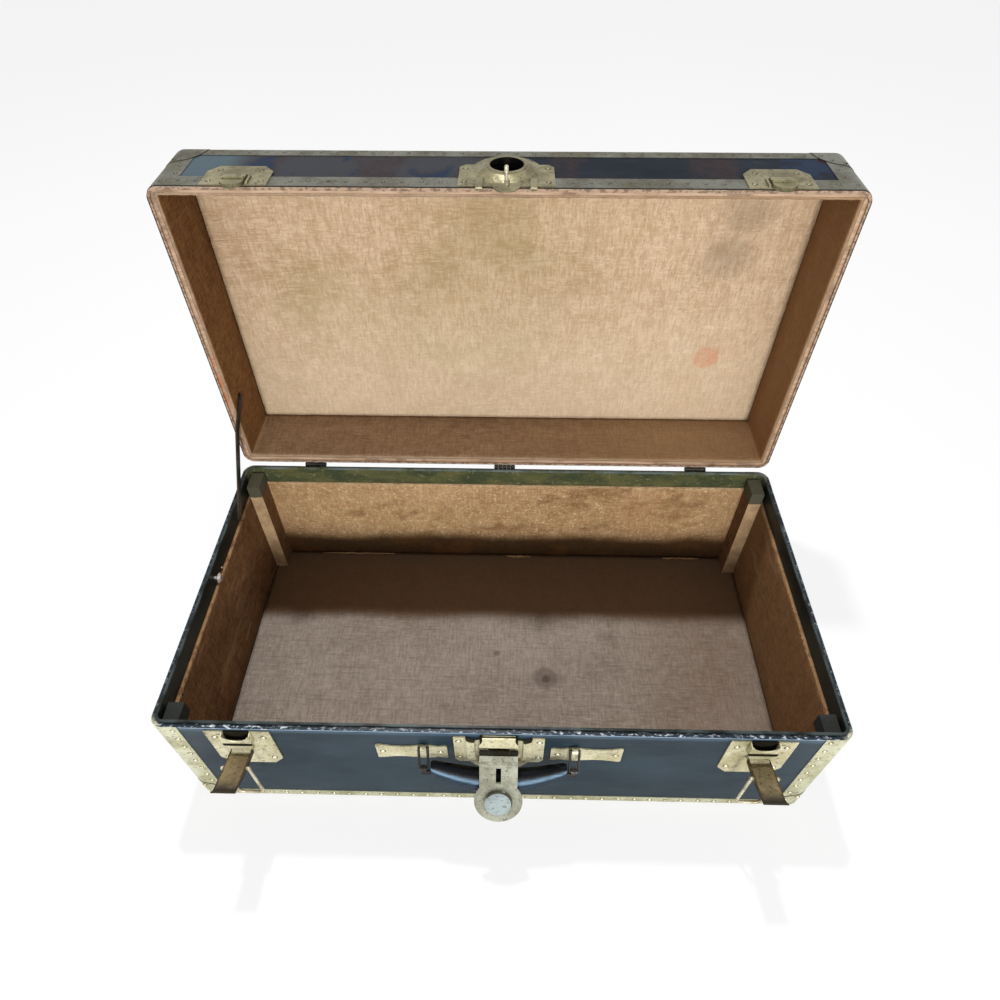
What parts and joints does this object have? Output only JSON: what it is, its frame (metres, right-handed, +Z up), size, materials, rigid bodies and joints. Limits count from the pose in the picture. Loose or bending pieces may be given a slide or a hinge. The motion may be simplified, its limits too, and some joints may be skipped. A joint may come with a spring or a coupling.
{
  "type": "hand trunk",
  "caption": "Flat-top hand trunk standing open: fibre-covered box, hinged canvas-lined lid, brass bindings, centre hasp lock, drawbolts with wire bails, leather grip, lid stay",
  "frame": {"origin": "middle of the body's footprint, on the ground under the four lower corner caps", "axes": "+X to the right seen from the front, along the long side; +Y from the front with the lock to the hinged back; +Z up"},
  "size_m": [0.7642, 0.5724, 0.627],
  "materials": {
    "fibre": "satin",
    "valance": "matte",
    "lining": "matte",
    "canvas": "matte",
    "wood": "matte",
    "binding": "satin",
    "brass_plate": "satin",
    "lever_brass": "satin",
    "steel_wire": "satin",
    "dark_steel": "satin",
    "tarnished_nickel": "satin",
    "leather": "satin"
  },
  "bodies": {
    "trunk": {"body_back_wall": "wood", "body_bottom_binding": "binding", "body_corner_bindings": "binding", "body_corner_caps": "binding", "body_cover": "fibre", "body_floor_board": "wood", "body_floor_lining": "lining", "body_front_wall": "wood", "body_left_wall": "wood", "body_liner": "lining", "body_right_wall": "wood", "body_valance": "valance", "corner_posts": "lining", "drawbolt_plate_left": "brass_plate", "drawbolt_plate_right": "brass_plate", "handle_plate_left": "brass_plate", "handle_plate_right": "brass_plate", "hasp_pin": "dark_steel", "hinge_leaves_body": "brass_plate", "hinge_pins": "dark_steel", "lever_pin_left": "dark_steel", "lever_pin_right": "dark_steel", "lock_plate": "brass_plate", "stay_stud": "dark_steel"},
    "lid": {"lid_back_wall": "wood", "lid_corner_bindings": "binding", "lid_corner_caps": "binding", "lid_cover": "fibre", "lid_front_wall": "wood", "lid_left_wall": "wood", "lid_liner": "lining", "lid_lock_plate": "brass_plate", "lid_right_wall": "wood", "lid_rim_binding": "binding", "lid_top_binding": "binding", "lid_top_board": "wood", "lid_top_lining": "canvas", "lock_staple": "brass_plate", "catch_plate_left": "brass_plate", "catch_plate_right": "brass_plate", "hinge_leaves_lid": "brass_plate", "stay_rivet": "dark_steel"},
    "hasp": {"hasp": "tarnished_nickel", "lock_case": "tarnished_nickel", "lock_back_disc": "tarnished_nickel"},
    "lever_left": {"drawbolt_lever_left": "lever_brass"},
    "lever_right": {"drawbolt_lever_right": "lever_brass"},
    "bail_left": {"bail_left": "steel_wire"},
    "bail_right": {"bail_right": "steel_wire"},
    "links": {"handle_links": "dark_steel"},
    "grip": {"handle_grip": "leather", "handle_end_loops": "dark_steel"},
    "stay": {"lid_stay": "dark_steel"}
  },
  "joints": [
    {"name": "lid_hinge", "type": "hinge", "parent": "trunk", "child": "lid", "pos_m": [0, 0.205, 0.2], "axis": [1, 0, 0], "range_deg": [0, 90]},
    {"name": "hasp_hinge", "type": "hinge", "parent": "trunk", "child": "hasp", "pos_m": [0, -0.213, 0.178], "axis": [-1, 0, 0], "range_deg": [0, 149]},
    {"name": "lever_left_hinge", "type": "hinge", "parent": "trunk", "child": "lever_left", "pos_m": [-0.2865, -0.211, 0.16], "axis": [1, 0, 0], "range_deg": [-50, 106]},
    {"name": "lever_right_hinge", "type": "hinge", "parent": "trunk", "child": "lever_right", "pos_m": [0.2865, -0.211, 0.16], "axis": [1, 0, 0], "range_deg": [-50, 106]},
    {"name": "bail_left_hinge", "type": "hinge", "parent": "lever_left", "child": "bail_left", "pos_m": [-0.2865, -0.23097, 0.16649], "axis": [1, 0, 0], "range_deg": [-106, 50]},
    {"name": "bail_right_hinge", "type": "hinge", "parent": "lever_right", "child": "bail_right", "pos_m": [0.2865, -0.23097, 0.16649], "axis": [1, 0, 0], "range_deg": [-106, 50]},
    {"name": "link_swing", "type": "hinge", "parent": "trunk", "child": "links", "pos_m": [0, -0.205, 0.167], "axis": [1, 0, 0], "range_deg": [0, 10]},
    {"name": "grip_tilt", "type": "hinge", "parent": "links", "child": "grip", "pos_m": [0, -0.21771, 0.14205], "axis": [1, 0, 0], "range_deg": [0, 6]},
    {"name": "stay_swing", "type": "hinge", "parent": "lid", "child": "stay", "pos_m": [-0.3692, 0.232, 0.304], "axis": [1, 0, 0], "range_deg": [-120, 0]}
  ],
  "couplings": [
    {"joint": "bail_left_hinge", "follows": "lever_left_hinge", "ratio": -1},
    {"joint": "bail_right_hinge", "follows": "lever_right_hinge", "ratio": -1},
    {"joint": "stay_swing", "follows": "lid_hinge", "ratio": -1.3333}
  ]
}
